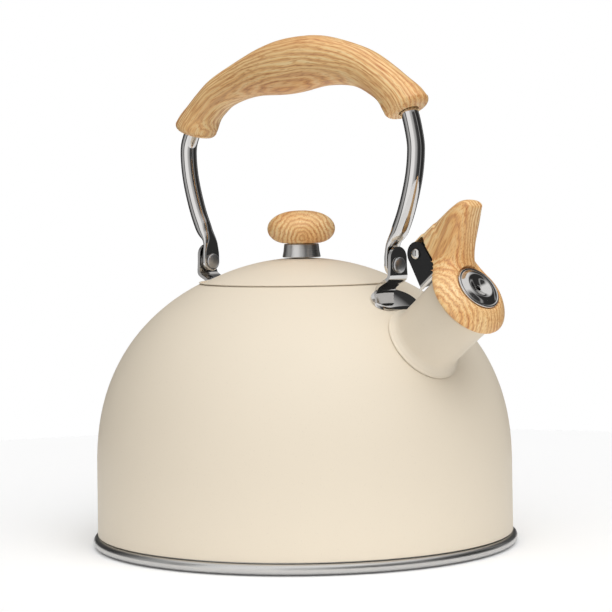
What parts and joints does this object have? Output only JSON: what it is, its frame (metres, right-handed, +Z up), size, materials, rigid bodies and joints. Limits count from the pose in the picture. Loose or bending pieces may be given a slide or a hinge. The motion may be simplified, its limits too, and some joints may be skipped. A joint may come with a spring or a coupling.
{
  "type": "stovetop whistling kettle",
  "caption": "Domed stovetop kettle with a folding arched handle, a lift-off lid with a knob, and a short spout closed by a sprung thumb lever that holds the whistle.",
  "frame": {"origin": "centre of the flat underside, on the surface that the kettle stands on", "axes": "+Z up along the body's axis, +X towards the spout, and the handle stands in the XZ plane"},
  "size_m": [0.2406, 0.22, 0.2615],
  "materials": {
    "cream_coating": "satin cream coating on steel",
    "wood_print": "satin moulding with an oak grain print",
    "polished_steel": "polished stainless steel",
    "satin_steel": "satin stainless steel",
    "spreader_core": "plain rolled aluminium",
    "black_paint": "gloss black paint on steel"
  },
  "bodies": {
    "kettle": {"body_shell": "cream_coating", "lid_neck": "cream_coating", "base_pan": "satin_steel", "heat_spreader": "spreader_core", "base_cap": "satin_steel", "spout": "cream_coating", "front_bracket": "polished_steel", "rear_bracket": "polished_steel", "front_rivet": "polished_steel", "rear_rivet": "polished_steel", "front_washer": "polished_steel", "rear_washer": "polished_steel", "whistle_bracket": "black_paint", "lever_pin": "polished_steel", "lever_spring": "satin_steel"},
    "handle": {"handle_tube": "polished_steel", "handle_grip": "wood_print"},
    "lid": {"lid_shell": "cream_coating", "lid_skirt": "satin_steel", "knob_collar": "satin_steel", "lid_knob": "wood_print", "knob_screw": "satin_steel", "knob_washer": "satin_steel"},
    "lever": {"whistle_lever": "wood_print", "lever_frame": "black_paint", "lever_screw": "satin_steel", "whistle_cup": "polished_steel", "whistle_plate": "polished_steel"}
  },
  "joints": [
    {"name": "handle_swing", "type": "hinge", "parent": "kettle", "child": "handle", "pos_m": [-0.0026, 0, 0.145], "axis": [1, 0, 0], "range_deg": [-90, 90]},
    {"name": "lid_lift", "type": "slide", "parent": "kettle", "child": "lid", "axis": [0, 0, 1], "range_m": [0, 0.05]},
    {"name": "lever_tilt", "type": "hinge", "parent": "kettle", "child": "lever", "pos_m": [0.08983, 0, 0.15105], "axis": [0, -1, 0], "range_deg": [0, 40], "stiffness_Nm_per_rad": 0.06, "springref_deg": -57.3}
  ]
}
